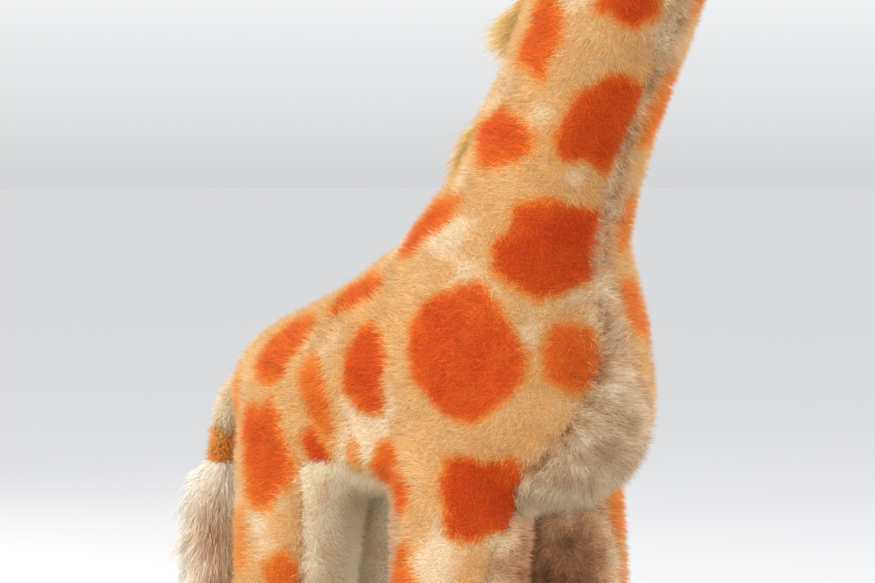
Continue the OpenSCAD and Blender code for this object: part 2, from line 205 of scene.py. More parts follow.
def relax(points, edges, rounds, strength):
    """Laplacian smoothing; strength is a number or one value per point."""
    count = np.bincount(edges.ravel(), minlength=len(points)).astype(float)
    pull = np.broadcast_to(np.asarray(strength, float), (len(points),))[:, None]
    for _ in range(rounds):
        total = np.stack([
            np.bincount(edges[:, 0], points[edges[:, 1], k], len(points))
            + np.bincount(edges[:, 1], points[edges[:, 0], k], len(points))
            for k in range(3)
        ], axis=1)
        points = points + (total / np.maximum(count, 1)[:, None] - points) * pull
    return points


def largest_part(mesh):
    """Removes every loose part but the one with the most points."""
    parent = np.arange(len(mesh.vertices))
    edges = read_edges(mesh)
    while True:
        low = np.minimum(parent[edges[:, 0]], parent[edges[:, 1]])
        before = parent.copy()
        np.minimum.at(parent, edges[:, 0], low)
        np.minimum.at(parent, edges[:, 1], low)
        parent = parent[parent]
        if np.array_equal(parent, before):
            break
    keep = np.bincount(parent).argmax()
    bm = bmesh.new()
    bm.from_mesh(mesh)
    bm.verts.ensure_lookup_table()
    bmesh.ops.delete(bm, geom=[v for v in bm.verts if parent[v.index] != keep], context="VERTS")
    bm.to_mesh(mesh)
    bm.free()


def remeshed_all(nodes, voxel, name):
    """A voxel mesh around copies of the named CAD nodes."""
    bm = bmesh.new()
    for node in nodes:
        bm.from_mesh(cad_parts[node].data)
    block = add_object(name, bpy.data.meshes.new(name))
    bm.to_mesh(block.data)
    bm.free()
    step = block.modifiers.new("remesh", "REMESH")
    step.mode = "VOXEL"
    step.voxel_size = voxel * MM
    shape = block.evaluated_get(bpy.context.evaluated_depsgraph_get())
    mesh = bpy.data.meshes.new_from_object(shape)
    bpy.data.objects.remove(block)
    mesh.name = name
    return mesh


def remeshed(nodes, voxel, name):
    """The same, with only its largest part."""
    mesh = remeshed_all(nodes, voxel, name)
    largest_part(mesh)
    return mesh


# ---- colours --------------------------------------------------------------------------------
def linear(red, green, blue):
    """Linear colour from display values of 0 to 255."""
    def one(c):
        c = c / 255
        return c / 12.92 if c <= 0.04045 else ((c + 0.055) / 1.055) ** 2.4
    return np.array([one(red), one(green), one(blue)])


# Each family of pile runs through these colours, from tone 0 to tone 1
FAMILIES = {
    "spotted": [linear(246, 222, 186), linear(226, 174, 110), linear(236, 156, 72),
                linear(234, 124, 40), linear(224, 92, 18), linear(206, 64, 6)],
    # The dark first colours of the cream and inner families give the painted shade inside the front
    # legs and the dark flecks along the seams
    "cream": [linear(108, 64, 36), linear(178, 137, 101), linear(220, 191, 155),
              linear(250, 238, 214)],
    "inner": [linear(112, 66, 38), linear(190, 136, 96), linear(242, 196, 152),
              linear(255, 230, 194)],
    "mane": [linear(244, 184, 98), linear(252, 206, 124), linear(255, 224, 156)],
    "tuft": [linear(138, 80, 54), linear(200, 158, 124), linear(232, 208, 178),
             linear(246, 234, 216)],
}
# Number of tones that each family is made in
STEPS = {"spotted": 13, "cream": 8, "inner": 8, "mane": 5, "tuft": 6}
# Each tone is also made in these shades, as factors of its brightness
SHADES = [0.72, 0.9, 1.04, 1.2]


def family_color(family, tone):
    """The colour of a family at each tone from 0 to 1."""
    colors = np.array(FAMILIES[family])
    at = np.clip(tone, 0, 1) * (len(colors) - 1)
    return np.stack([np.interp(at, range(len(colors)), colors[:, k]) for k in range(3)], axis=-1)


def principled(name):
    material = bpy.data.materials.new(name)
    material.use_nodes = True
    return material, material.node_tree.nodes["Principled BSDF"]


def pile_materials(family):
    """One material for each step and shade of a family of pile."""
    made = []
    for step in range(STEPS[family]):
        for shade in SHADES:
            color = family_color(family, np.array(step / (STEPS[family] - 1))) * shade
            material, shader = principled(f"pile_{family}_{step}_{int(shade * 100)}")
            shader.inputs["Base Color"].default_value = (*np.clip(color, 0, 1), 1)
            shader.inputs["Roughness"].default_value = 0.62
            shader.inputs["Specular IOR Level"].default_value = 0.25
            shader.inputs["Sheen Weight"].default_value = 0.25
            shader.inputs["Sheen Tint"].default_value = (*np.clip(color / color.max(), 0, 1), 1)
            shader.inputs["Sheen Roughness"].default_value = 0.4
            made.append(material)
    return made


PILES = {family: pile_materials(family) for family in FAMILIES}


# ---- airbrushed spots -----------------------------------------------------------------------
# Spots of the right side: middle x, y, z near the surface, half length and half height in mm, turn in
# degrees, and depth of the colour from 0 to 1. A spot's outline follows from its place in the list.
SPOTS = [
    (22.2, -16.5, 195, 5.8, 8.0, -18, 0.78), (43, -11, 200, 6.2, 4.5, 10, 1.0),
    (33.2, -7.9, 177, 7.4, 10, -24, 0.95), (11.2, -17, 174.8, 8.6, 5.6, 0, 0.85),
    (25.4, -12.2, 152.4, 11.8, 9.0, 0, 1.0), (-6.4, -18.6, 158, 4.4, 9.8, -50, 0.8),
    (9.7, -25.6, 132.2, 11.4, 13.6, 10, 0.92), (28.6, -9.9, 131.6, 7.2, 6.2, -20, 0.72),
    (-27.2, -18.6, 143.6, 4.8, 8.8, -66, 0.76), (-46.4, -21, 132.2, 6.4, 9.2, -36, 0.74),
    (-17, -25, 128.2, 6.6, 8.4, -4, 0.9), (-32, -25, 122, 3.8, 8.6, 14, 0.62),
    (-45.4, -30, 109.6, 6.1, 11.4, 17, 0.8), (-33, -24, 111.2, 2.8, 4.4, 42, 1.0),
    (-21.4, -25, 109.4, 2.2, 3.4, 0, 0.42), (-12.6, -24, 107.8, 4.2, 5.4, -20, 0.8),
    (14, -21, 103.8, 8.5, 8.4, 6, 1.0), (-53, -28.5, 91, 3.2, 7.4, 0, 0.42),
    (-38.6, -28, 84.6, 3.6, 5, 0, 0.66), (-6.4, -27, 86.8, 5.4, 6.4, 0, 0.66),
    (10, -25, 78.4, 4.8, 7.6, 0, 0.72), (-64, -19, 118, 2.5, 6.5, 0, 0.5),
    (-5, -29, 62, 5, 6, 15, 0.8), (9, -26, 52, 4.4, 5.5, 0, 0.9),
    (-2, -28, 38, 4, 5, 0, 0.7), (8, -25, 28, 3.6, 4.4, 0, 0.8),
    (-50, -29, 66, 4.4, 6, 0, 0.85), (-40, -27, 55, 4, 5.4, 10, 0.7),
    (-49, -28, 41, 3.8, 5, 0, 0.8), (-40, -26, 29, 3.4, 4.4, 0, 0.65),
    (36, -14, 213, 6, 6.5, -20, 0.9), (24, -13, 213, 5, 6.5, -30, 0.8),
    (49, -11, 218, 4, 6, -20, 0.75), (38, -14, 232, 5, 7, -10, 0.95),
    (50, -12, 234, 4, 5, 0, 0.7), (29, -9, 231, 3, 6, -20, 0.75),
    (-7.2, -26, 103.6, 3.4, 4.4, 30, 0.84),
]
# The spots of the left panel that reach the front seams, in the same way
LEFT_FRONT_SPOTS = [
    (47, 4, 202, 5.5, 5, 0, 0.5), (36, 7, 180, 6.4, 8.6, 10, 0.5),
    (28, 8, 157, 5, 6, 0, 0.5), (26, 12, 141.4, 5.6, 6.4, 0, 0.58),
    (14, 19.5, 98, 3.6, 7.0, 0, 0.5), (13, 20.5, 84, 3.2, 5, 0, 0.5),
]
# Width of a spot's soft edge, and how far out a spot is looked for, in its half sizes
SPOT_EDGE = 2.4
SPOT_REACH = 1.8
# Shape of a spot between an ellipse (2) and a rectangle, and how much it fades towards its edge
SPOT_POWER = 2.5
SPOT_FADE = 0.16


def left_spots():
    """The right side's spots mirrored, each moved a little, clear of the front ones."""
    draw = np.random.default_rng(5)
    made = list(LEFT_FRONT_SPOTS)
    for x, y, z, along, up, turn, depth in SPOTS:
        shift = draw.uniform(-2.5, 2.5, 2)
        grow = draw.uniform(0.88, 1.12, 2)
        turn += draw.uniform(-12, 12)
        place = (x + shift[0], -y, z + shift[1])
        near = [math.dist(place, other[:3]) < along + other[3] + 1 for other in LEFT_FRONT_SPOTS]
        if not any(near):
            made.append((*place, along * grow[0], up * grow[1], turn, depth))
    return made


class Surface:
    """A closed skin that strands stand on: points, normals and triangles."""

    def __init__(self, mesh):
        self.points = read_points(mesh)
        self.normals = read_normals(mesh)
        mesh.calc_loop_triangles()
        flat = np.empty(len(mesh.loop_triangles) * 3, dtype=np.int64)
        mesh.loop_triangles.foreach_get("vertices", flat)
        self.triangles = flat.reshape(-1, 3)
        a, b, c = (self.points[self.triangles[:, k]] for k in range(3))
        self.areas = np.linalg.norm(np.cross(b - a, c - a), axis=1) / 2
        self.centres = (a + b + c) / 3

    def tree(self):
        return BVHTree.FromPolygons(self.points.tolist(), self.triangles.tolist())

    def scatter(self, density):
        """Points and normals at the given number per square millimetre of each triangle."""
        expected = self.areas * density
        count = rng.poisson(expected)
        pick = np.repeat(np.arange(len(count)), count)
        u, v = rng.random(len(pick)), rng.random(len(pick))
        fold = u + v > 1
        u[fold], v[fold] = 1 - u[fold], 1 - v[fold]
        w = np.stack([1 - u - v, u, v], axis=1)[:, :, None]
        corners = self.triangles[pick]
        place = (self.points[corners] * w).sum(axis=1)
        return place, unit((self.normals[corners] * w).sum(axis=1))


class Spot:
    """One airbrushed spot, set on the skin with an uneven outline."""

    def __init__(self, tree, row, seed):
        x, y, z, along, up, turn, self.depth = row
        where, normal, _, _ = tree.find_nearest((x, y, z))
        self.middle, self.normal = np.array(where), np.array(normal)
        upward = unit(np.array([0, 0, 1.0]) - self.normal[2] * self.normal)
        forward = np.cross(upward, self.normal) * (1 if y < 0 else -1)
        angle = math.radians(turn)
        self.u = forward * math.cos(angle) + upward * math.sin(angle)
        self.v = upward * math.cos(angle) - forward * math.sin(angle)
        self.half = along, up
        draw = np.random.default_rng(seed)
        self.waves = [(k, draw.uniform(0.02, 0.07), draw.uniform(0, 6.3)) for k in (2, 3, 4, 5)]

    def cover(self, p, n):
        """How much paint the spot leaves at each point, 0 to 1."""
        d = p - self.middle
        near = (np.abs(d).max(axis=1) < SPOT_REACH * max(self.half)) & (n @ self.normal > 0.05)
        paint = np.zeros(len(p))
        a, b = d[near] @ self.u, d[near] @ self.v
        angle = np.arctan2(b / self.half[1], a / self.half[0])
        r = (np.abs(a / self.half[0]) ** SPOT_POWER + np.abs(b / self.half[1]) ** SPOT_POWER)
        r = r ** (1 / SPOT_POWER)
        r = r / (1 + sum(size * np.cos(k * angle + turn) for k, size, turn in self.waves))
        edge = min(SPOT_EDGE / min(self.half), 0.8)
        t = np.clip((1 + edge / 2 - r) / edge, 0, 1)
        core = 1 - SPOT_FADE * np.clip(r, 0, 1) ** 2
        paint[near] = t * t * (3 - 2 * t) * core * self.depth
        return paint


def paint_at(spots, p, n):
    """The strongest paint of any spot at each point, with edges that wander."""
    cover = np.zeros(len(p))
    wander = np.stack([noise(p, 2.4, s) * 0.8 + noise(p, 0.9, s + 5) * 0.45 for s in (1, 2, 3)],
                      axis=1)
    for spot in spots:
        cover = np.maximum(cover, spot.cover(p + wander, n))
    return cover


# ---- strands --------------------------------------------------------------------------------
# The most faces that one piece of pile has
PIECE_FACES = 190000
# How deep a strand's root lies in the cloth
ROOT_DEPTH = 0.25
# How much of the skin's own direction a strand is shaded with
SOFTNESS = 0.6


def strand_frame(direction):
    """Two directions across each strand."""
    side = np.cross(direction, np.where(np.abs(direction[:, 2:]) > 0.9, [[1.0, 0, 0]], [[0, 0, 1.0]]))
    side = unit(side)
    return side, np.cross(direction, side)


def strand_piece(name, root, normal, way, length, width, slot_index, materials, tip_way=None,
                 softness=SOFTNESS):
    """A mesh of closed three-sided strands; with tip_way each strand bends half way up."""
    count = len(root)
    rings = 1 if tip_way is None else 2
    side, other = strand_frame(way)
    spin = rng.random(count) * 2 * math.pi
    corner = spin[:, None] + np.arange(3) * (2 * math.pi / 3)
    circle = (side[:, None] * np.cos(corner)[:, :, None]
              + other[:, None] * np.sin(corner)[:, :, None])
    base = root - normal * ROOT_DEPTH
    layers = [base[:, None] + circle * width[:, None, None]]
    if rings == 1:
        tip = base + way * length[:, None]
    else:
        bend = base + way * (0.55 * length)[:, None]
        layers.append(bend[:, None] + circle * (0.75 * width)[:, None, None])
        tip = bend + tip_way * (0.45 * length)[:, None]
    points = np.concatenate([*layers, tip[:, None]], axis=1)
    per = points.shape[1]
    first = (np.arange(count) * per)[:, None]
    loops = [first + [2, 1, 0]]
    sizes = [3]
    if rings == 2:
        for k in range(3):
            m = (k + 1) % 3
            loops.append(first + [k, m, m + 3, k + 3])
            sizes.append(4)
    top = 3 * (rings - 1)
    for k in range(3):
        loops.append(first + [top + k, top + (k + 1) % 3, per - 1])
        sizes.append(3)
    corners = np.concatenate(loops, axis=1).ravel()
    starts = np.concatenate([[0], np.cumsum(sizes)[:-1]])
    starts = (np.arange(count)[:, None] * sum(sizes) + starts).ravel()
    mesh = bpy.data.meshes.new(name)
    mesh.vertices.add(count * per)
    mesh.loops.add(len(corners))
    mesh.polygons.add(len(starts))
    mesh.vertices.foreach_set("co", (points * MM).ravel())
    mesh.loops.foreach_set("vertex_index", corners.astype(np.int32))
    mesh.polygons.foreach_set("loop_start", starts.astype(np.int32))
    for material in materials:
        mesh.materials.append(material)
    slots = np.repeat(slot_index, len(sizes)).astype(np.int32)
    mesh.polygons.foreach_set("material_index", slots)
    shade_smooth(mesh)
    mesh.update(calc_edges=True)
    own = unit(circle)
    own = np.concatenate([own] * rings + [way[:, None]], axis=1)
    soft = unit(normal[:, None] * softness + own * (1 - softness))
    mesh.normals_split_custom_set_from_vertices(soft.reshape(-1, 3))
    return add_object(name, mesh)


# Triangles of one strand, straight or bent
STRAIGHT_FACES = 4
BENT_FACES = 10


def pile(name, body, family, root, normal, tone, shade, length, lean, spread, width,
         bent=False, softness=SOFTNESS, replaces=()):
    """Strands on a skin, in as many pieces as their number needs."""
    loose = rng.normal(size=root.shape)
    way = unit(normal + lean + loose * spread)
    tip_way = None
    if bent:
        tip_way = unit(way + lean * 1.5 + rng.normal(size=root.shape) * spread * 1.2)
    step = tone * (STEPS[family] - 1) + rng.uniform(-0.75, 0.75, len(root))
    step = np.clip(np.rint(step), 0, STEPS[family] - 1)
    level = np.clip(np.rint(1.7 + shade + rng.normal(size=len(root)) * 0.75), 0, len(SHADES) - 1)
    index = (step * len(SHADES) + level).astype(int)
    each = PIECE_FACES // (BENT_FACES if bent else STRAIGHT_FACES)
    parts = max(1, math.ceil(len(root) / each))
    order = np.argsort(root[:, 2] + 0.2 * root[:, 0], kind="stable")
    for k, pick in enumerate(np.array_split(order, parts)):
        piece = strand_piece(
            f"{name}_{k + 1}" if parts > 1 else name, root[pick], normal[pick], way[pick],
            length[pick], np.full(len(pick), width), index[pick], PILES[family],
            None if tip_way is None else tip_way[pick], softness)
        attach(piece, body)
    if replaces:
        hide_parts(*replaces)


# ---- the skin -------------------------------------------------------------------------------
SKIN_VOXEL = 0.9
# How far the cloth lies under the CAD surface, which counts the pile
PILE_DEPTH = 1.0
# The groove along each seam, shallower on the front of the neck
SEAM_DEPTH = 0.4
SEAM_WIDTH = 1.4
NECK_SEAM = 0.4
# The filling makes the cloth uneven: size, seed and height of each kind of lump, and share kept
LUMPS = [(7.0, 4, 0.35), (16.0, 6, 0.5)]
LUMP_SHARE = 0.6
# The neck and the legs blend into the body between these heights, behind this x
BLEND_LOW = 92
BLEND_HIGH = 150
BLEND_X = 26


def shaped_skin():
    mesh = remeshed(COVER + FILLING, SKIN_VOXEL, "skin")
    points = read_points(mesh)
    edges = read_edges(mesh)
    points = relax(points, edges, 6, 0.5)
    z = points[:, 2]
    joint = (z > BLEND_LOW) & (z < BLEND_HIGH) & (points[:, 0] < BLEND_X)
    blend = joint * np.clip((z - BLEND_LOW) / 8, 0, 1) * np.clip((BLEND_HIGH - z) / 10, 0, 1)
    points = relax(points, edges, 40, 0.5 * blend)
    write_points(mesh, points)
    normals = read_normals(mesh)
    points -= normals * PILE_DEPTH
    reach = seam_distance(points)
    shallow = np.where((points[:, 0] > 18) & (points[:, 2] > 140), NECK_SEAM, 1.0)
    pull = SEAM_DEPTH * shallow * np.exp(-((reach / SEAM_WIDTH) ** 2))
    lump = sum(noise(points, size, seed) * height for size, seed, height in LUMPS)
    points -= normals * (pull - lump * LUMP_SHARE)[:, None]
    write_points(mesh, points)
    return mesh


skin_mesh = shaped_skin()
skin = Surface(skin_mesh)
skin_tree = skin.tree()
spots = [Spot(skin_tree, row, 100 + k) for k, row in enumerate(SPOTS + left_spots())]


def soft_step(low, high, value):
    t = np.clip((value - low) / (high - low), 0, 1)
    return t * t * (3 - 2 * t)


# Half width of the greyed band up the front of the neck against height
BAND_HALF = ([136, 150, 166, 175, 184, 194, 205], [4.6, 2.8, 3.2, 1.6, 1.6, 3.8, 3.0])


def front_band(p, n):
    """The unpainted, greyed pile along the seam up the front of the neck, 0 to 1."""
    half = np.interp(p[:, 2], *BAND_HALF)
    half = np.where(p[:, 1] > 0, half * 1.3, half) * (1 + 0.3 * noise(p, 4.0, 8))
    facing = (n[:, 0] > 0.2) & (p[:, 2] > 132) & (p[:, 2] < 242)
    return soft_step(1.3, 0.3, np.abs(p[:, 1]) / half) * facing


def seam_flecks_at(p, n):
    """Dark flecks along the seams of the chest, the neck and the legs, 0 to 1."""
    gap = underside_gap(p)
    flecks = np.clip(0.1 + 1.7 * noise(p, 0.9, 9) + 0.8 * noise(p, 5.0, 10), 0, 1)
    chest = np.exp(-((gap / 1.6) ** 2)) * (p[:, 2] > 100) * (p[:, 0] > FRONT_X + 8)
    leg = 0.7 * np.exp(-((gap / 1.6) ** 2)) * (p[:, 2] <= 106) * (p[:, 0] < FRONT_X + 8)
    front = 0.62 * np.exp(-((p[:, 1] / 2.4) ** 2)) * (n[:, 0] > 0.2) * (p[:, 2] > 132)
    return np.clip(chest + leg + front, 0, 1) * flecks


# Spacing of the rows of the woven pile, and their turn in the cloth
ROW_PITCH = 1.3
ROW_TURN = math.radians(8)


def rows_at(p):
    """The rows of the woven pile, from -1 to 1."""
    across = p[:, 2] * math.cos(ROW_TURN) + p[:, 0] * math.sin(ROW_TURN)
    along = p[:, 0] * math.cos(ROW_TURN) - p[:, 2] * math.sin(ROW_TURN)
    rows = np.sin(2 * math.pi * across / ROW_PITCH)
    columns = np.sin(2 * math.pi * along / (ROW_PITCH * 0.9))
    return 0.6 * rows + 0.4 * columns


# ---- materials of solid pieces --------------------------------------------------------------
# Depth that a full bump stands for
BUMP_DEPTH = 0.3


def link(tree, a, b):
    tree.links.new(a, b)


def add_bump(tree, source, shader, strength):
    """Raises the surface of a material by the Fac output of a texture."""
    lift = tree.nodes.new("ShaderNodeBump")
    lift.inputs["Strength"].default_value = strength
    lift.inputs["Distance"].default_value = BUMP_DEPTH * MM
    link(tree, source.outputs["Fac"], lift.inputs["Height"])
    link(tree, lift.outputs["Normal"], shader.inputs["Normal"])


def cloth_material(name):
    """Woven backing: vertex colour broken up by fine noise, with a woven bump."""
    material, shader = principled(name)
    tree = material.node_tree
    color = tree.nodes.new("ShaderNodeVertexColor")
    color.layer_name = "tint"
    place = tree.nodes.new("ShaderNodeTexCoord")
    fine = tree.nodes.new("ShaderNodeTexNoise")
    fine.inputs["Scale"].default_value = 900
    fine.inputs["Detail"].default_value = 4
    link(tree, place.outputs["Object"], fine.inputs["Vector"])
    weave = tree.nodes.new("ShaderNodeTexWave")
    weave.bands_direction = "Z"
    weave.inputs["Scale"].default_value = 290
    weave.inputs["Distortion"].default_value = 1.5
    link(tree, place.outputs["Object"], weave.inputs["Vector"])
    vary = tree.nodes.new("ShaderNodeMix")
    vary.data_type = "RGBA"
    vary.blend_type = "MULTIPLY"
    vary.inputs["Factor"].default_value = 0.35
    link(tree, color.outputs["Color"], vary.inputs["A"])
    link(tree, fine.outputs["Color"], vary.inputs["B"])
    link(tree, vary.outputs["Result"], shader.inputs["Base Color"])
    add_bump(tree, weave, shader, 0.35)
    shader.inputs["Roughness"].default_value = 0.9
    shader.inputs["Specular IOR Level"].default_value = 0.2
    return material


def noise_material(name, low, high, scale, roughness, bump, metallic=0.0, stretch=(1, 1, 1)):
    """Two colours mixed by noise, with a bump of the same noise."""
    material, shader = principled(name)
    tree = material.node_tree
    place = tree.nodes.new("ShaderNodeTexCoord")
    size = tree.nodes.new("ShaderNodeMapping")
    size.inputs["Scale"].default_value = stretch
    link(tree, place.outputs["Object"], size.inputs["Vector"])
    grain = tree.nodes.new("ShaderNodeTexNoise")
    grain.inputs["Scale"].default_value = scale
    grain.inputs["Detail"].default_value = 5
    link(tree, size.outputs["Vector"], grain.inputs["Vector"])
    ramp = tree.nodes.new("ShaderNodeValToRGB")
    ramp.color_ramp.elements[0].position = 0.35
    ramp.color_ramp.elements[0].color = (*low, 1)
    ramp.color_ramp.elements[1].position = 0.68
    ramp.color_ramp.elements[1].color = (*high, 1)
    link(tree, grain.outputs["Fac"], ramp.inputs["Fac"])
    link(tree, ramp.outputs["Color"], shader.inputs["Base Color"])
    add_bump(tree, grain, shader, bump)
    shader.inputs["Roughness"].default_value = roughness
    shader.inputs["Metallic"].default_value = metallic
    return material


BACKING = cloth_material("woven_backing")
FELT = noise_material("felt", linear(176, 108, 52), linear(214, 146, 84), 700, 0.95, 0.6)
THREAD = noise_material("thread", linear(70, 44, 30), linear(112, 76, 52), 1500, 0.8, 0.8,
                        stretch=(1, 1, 4))
STEEL = noise_material("steel_wire", linear(120, 122, 126), linear(180, 182, 186), 600, 0.35, 0.2,
                       metallic=1.0)
WOOD_WOOL = noise_material("wood_wool", linear(150, 122, 74), linear(222, 196, 140), 260, 0.85, 1.0,
                           stretch=(1, 5, 2))
CARD = noise_material("card", linear(160, 134, 92), linear(196, 170, 124), 400, 0.9, 0.4)


def set_tint(mesh, colors):
    layer = mesh.color_attributes.new("tint", "FLOAT_COLOR", "POINT")
    layer.data.foreach_set("color", np.column_stack([colors, np.ones(len(colors))]).ravel())


def is_cream(panel):
    return (panel == CHEST) | (panel == UNDER_RIGHT) | (panel == UNDER_LEFT)


# Middles of pale places on the side panel
PALE_PLACES = [(5, -27, 90), (32, -15, 201), (-16, -26, 114)]


def spotted_tone(p, n):
    """Tone of the side panels: tan with paler patches, and the spots over it."""
    patches = noise(p, 11.0, 11) + 0.6 * noise(p, 4.5, 12)
    for x, y, z in PALE_PLACES:
        patches += 1.3 * np.exp(-np.sum(((p - (x, y, z)) / (4.5, 4.5, 8)) ** 2, axis=1))
    base = 0.19 - 0.15 * soft_step(0.25, 0.9, patches) + 0.03 * noise(p, 2.0, 13)
    painted = paint_at(spots, p, n) * (0.95 + 0.1 * noise(p, 4.0, 14) - 0.05 * rows_at(p))
    painted *= 1 - 0.6 * front_band(p, n)
    return base + (1 - base) * np.clip(painted, 0, 1)


def cream_tone(p, n):
    """Tone of the cream panels: lighter towards the back, with painted shade inside the front legs.
    """
    hind = soft_step(FRONT_X - 10, HIND_X + 16, p[:, 0])
    facing_in = soft_step(0.1, -0.4, n[:, 1] * np.sign(p[:, 1]))
    leg_painted_shade = soft_step(LEG_TOP + 2, LEG_TOP - 6, p[:, 2]) * facing_in
    # Lighter towards the hind legs; darker where the inside of a front leg faces inwards, which is
    # painted shade
    tone_and_leg_shade = 0.61 + 0.34 * hind - 0.38 * leg_painted_shade * (1 - hind)
    tone_and_leg_shade += 0.12 * noise(p, 8.0, 15) + 0.2 * noise(p, 2.2, 16)
    return np.clip(tone_and_leg_shade, 0, 1) * (1 - 0.85 * seam_flecks_at(p, n))


def skin_color(p, n, panel):
    """Colour of the backing under the pile."""
    side = family_color("spotted", spotted_tone(p, n))
    cream = family_color("cream", cream_tone(p, n))
    band = np.maximum(front_band(p, n), is_cream(panel))[:, None]
    return (side * (1 - band) + cream * band) * 0.8


PANEL_NAMES = {SIDE_RIGHT: "side_panel_right", SIDE_LEFT: "side_panel_left",
               CHEST: "chest_gusset", UNDER_RIGHT: "underbody_right",
               UNDER_LEFT: "underbody_left", CROWN: "head_gusset"}


# The woven backing alone
CLOTH_THICKNESS = 0.8


def cut_skin():
    """Cuts the skin into its panels, each a closed sheet of cloth."""
    corners = np.array([p.vertices[:] for p in skin_mesh.polygons])
    centres = skin.points[corners].mean(axis=1)
    panel = panel_of(centres)
    point_panel = panel_of(skin.points)
    colors = skin_color(skin.points, skin.normals, point_panel)
    for key, node in PANEL_NAMES.items():
        faces = corners[panel == key]
        used, renamed = np.unique(faces, return_inverse=True)
        mesh = bpy.data.meshes.new("skin_" + node)
        mesh.from_pydata((skin.points[used] * MM).tolist(), [], renamed.reshape(faces.shape).tolist())
        set_tint(mesh, colors[used])
        mesh.materials.append(BACKING)
        shade_smooth(mesh)
        piece = add_object("skin_" + node, mesh)
        thick = piece.modifiers.new("cloth", "SOLIDIFY")
        thick.thickness = CLOTH_THICKNESS * MM
        thick.offset = -1
        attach(piece, "body")
        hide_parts(node)


cut_skin()


def sunk(points, depth):
    """Moves points that are less than depth under the skin straight down to that depth."""
    moved = points.copy()
    for i, point in enumerate(points):
        where, normal, _, _ = skin_tree.find_nearest(point.tolist())
        height = float((point - np.array(where)) @ np.array(normal))
        if height > -depth:
            moved[i] -= np.array(normal) * (height + depth)
    return moved


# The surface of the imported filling: its mesh size, its lumps, and how far it stays under the skin
PACKED_VOXEL = 1.6
PACKED_LUMP = 0.35
PACKED_UNDER = 1.2


def fit_filling(node):
    """The filling of one part, pressed inside the cloth, with a coarse packed surface."""
    mesh = remeshed_all([node], PACKED_VOXEL, "packed_" + node)
    points = read_points(mesh)
    points = points + read_normals(mesh) * (noise(points, 3.0, 81) * PACKED_LUMP)[:, None]
    write_points(mesh, sunk(points, PACKED_UNDER))
    mesh.materials.append(WOOD_WOOL)
    shade_smooth(mesh)
    piece = add_object("packed_" + node, mesh)
    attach(piece, "body")
    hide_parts(node)


for name in FILLING:
    fit_filling(name)

DENSITY = 9.5
FAST = 1.0
# Pile is shorter on the face, which starts here, and near the soles; longer around an ear's root
FACE_Z = 215
FACE_LENGTH = 34
SOLE_PILE_Z = 14
EAR_REACH = 5
# The lowest root, which leaves the felt soles free
ROOTS_FROM = 2.6
# Lengths of the pile, and half widths of its strands
CHEST_PILE = 3.3
CREAM_PILE = 2.8
SPOTTED_PILE = 2.3
CREAM_WIDTH = 0.075
SPOTTED_WIDTH = 0.062
FUR_WIDTH = 0.075


def nearest(p, places):
    """Distance from each point to the nearer of two places."""
    return np.minimum(*[np.linalg.norm(p - place, axis=1) for place in places])


def swirl(p, size, seed):
    """A smoothly changing direction."""
    return np.stack([noise(p, size, seed + k) for k in range(3)], axis=1)


# How far cream and spotted pile mix across a seam and around the chest, and how far the paint
# strays at a spot's edge
SEAM_MIX = 0.5
CHEST_MIX = 1.7
PAINT_MIX = 0.55
# Share of the strands that stand out, longer and paler than the rest
STRAYS = 0.03


def grow_panel(key, p, n):
    """Pile on one panel: cream pile where the panel or its seam band is cream."""
    node = PANEL_NAMES[key]
    near_seam = np.exp(-((seam_distance(p) / 0.8) ** 2))
    face = np.clip((p[:, 0] - (NOSE - FACE_LENGTH)) / 20, 0, 1) * (p[:, 2] > FACE_Z)
    low = np.clip((SOLE_PILE_Z - p[:, 2]) / 12, 0, 1)
    seam_flecks = seam_flecks_at(p, n)
    down = np.array([-0.1, 0, -0.16])
    reach = SEAM_MIX + (CHEST_MIX - SEAM_MIX) * soft_step(104, 114, p[:, 2]) * (p[:, 0] > FRONT_X)
    mixed = is_cream(panel_of(p + rng.normal(size=p.shape) * reach[:, None]))
    cream = mixed | (rng.random(len(p)) < front_band(p, n) * 0.5)
    lean = down + swirl(p, 7.0, 20) * 0.42 + swirl(p, 2.2, 24) * 0.35
    if key == CHEST:
        lean += np.outer(soft_step(108, 122, p[:, 2]), [0, 0.45, 0])
    pale = "inner" if key in (UNDER_RIGHT, UNDER_LEFT) else "cream"
    for pick, family in ((cream, pale), (~cream, "spotted")):
        if not pick.any():
            continue
        q, m = p[pick], n[pick]
        if family == pale:
            tall = CHEST_PILE if key == CHEST else CREAM_PILE
            tone = cream_tone(q, m)
            shade = 0.6 * noise(q, 2.4, 17) + 0.3
            spread, width = 0.32, CREAM_WIDTH
        else:
            tall = SPOTTED_PILE
            tone = spotted_tone(q + rng.normal(size=q.shape) * PAINT_MIX, m)
            shade = 0.45 * noise(q, 3.5, 18) + 0.35 * rows_at(q) - 1.2 * seam_flecks[pick]
            shade += 0.5 * rng.normal(size=len(q)) * (tone > 0.5)
            spread, width = 0.34, SPOTTED_WIDTH
        stray = rng.random(len(q)) < STRAYS
        shade = shade + 1.5 * stray
        length = tall * rng.uniform(0.7, 1.15, len(q)) * (1 - 0.4 * face[pick])
        length *= (1 + 0.3 * stray) * (1 + 0.8 * np.exp(-((nearest(q, EAR_ROOTS) / EAR_REACH) ** 2)))
        length *= (1 - 0.15 * near_seam[pick]) * (1 - 0.2 * low[pick])
        name = f"pile_{node}_{family}"
        pile(name, "body", family, q, m, tone, shade, length, lean[pick], spread,
             width)


def grow_pile():
    place, normal = skin.scatter(DENSITY * FAST)
    keep = (nearest(place, EYES.values()) > EYE_R + 0.4) & (place[:, 2] > ROOTS_FROM)
    place, normal = place[keep], normal[keep]
    panel = panel_of(place)
    for key in PANEL_NAMES:
        pick = panel == key
        grow_panel(key, place[pick], normal[pick])


grow_pile()


